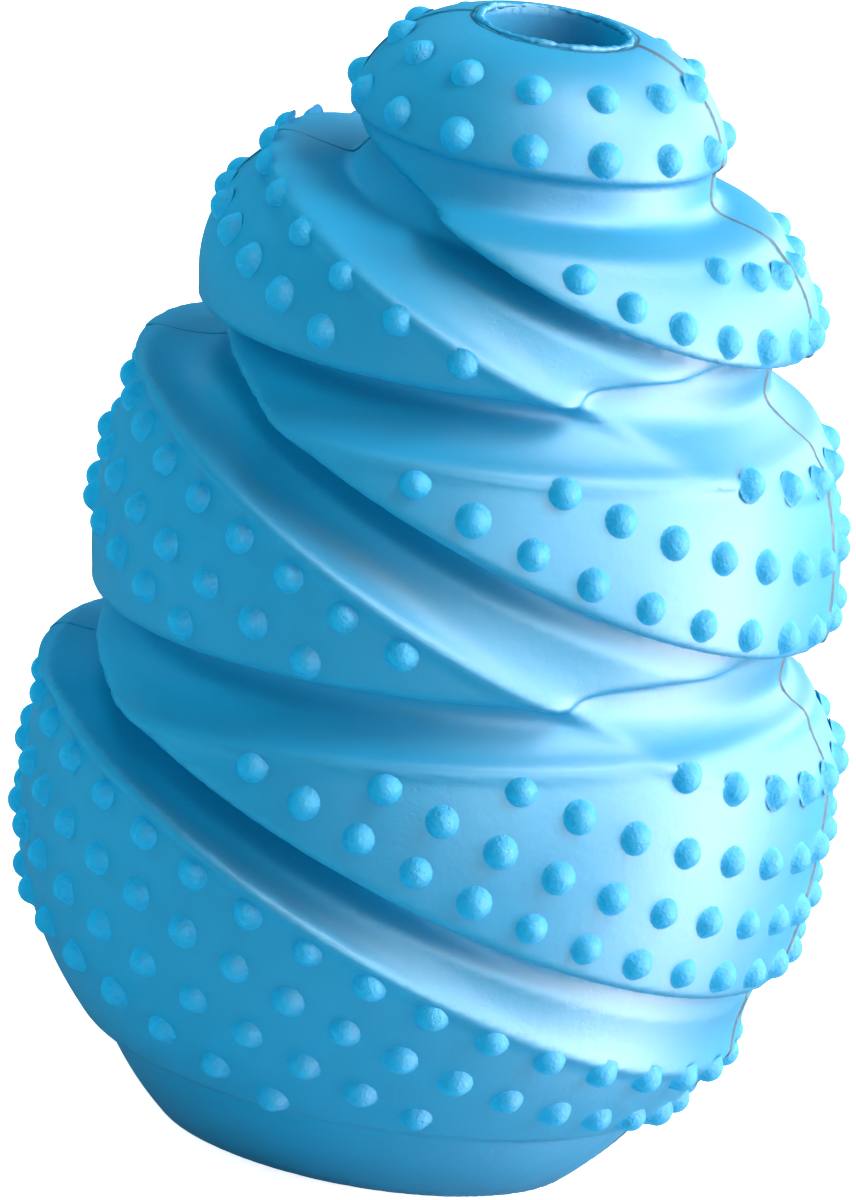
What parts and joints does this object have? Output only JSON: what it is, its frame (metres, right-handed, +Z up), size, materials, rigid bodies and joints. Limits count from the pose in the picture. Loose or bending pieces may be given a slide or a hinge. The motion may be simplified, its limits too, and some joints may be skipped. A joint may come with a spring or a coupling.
{
  "type": "treat-dispensing rubber chew toy",
  "caption": "Egg-shaped hollow rubber chew toy in two half shells, with a cap, swirl-grooved tiers, rows of domed nubs, a treat hole on top and a filling mouth below.",
  "frame": {"origin": "centre of the flat that the toy stands on, on the axis of the body of revolution", "axes": "+Z up along the body's axis to the hole in the cap, front towards -Y, +X towards the seam where the swirl grooves run lowest; the seam lies in the plane Y = 0"},
  "size_m": [0.0805, 0.08, 0.1125],
  "materials": {
    "rubber": "satin"
  },
  "bodies": {
    "root": {"front_shell": "rubber", "rear_shell": "rubber"}
  },
  "joints": []
}
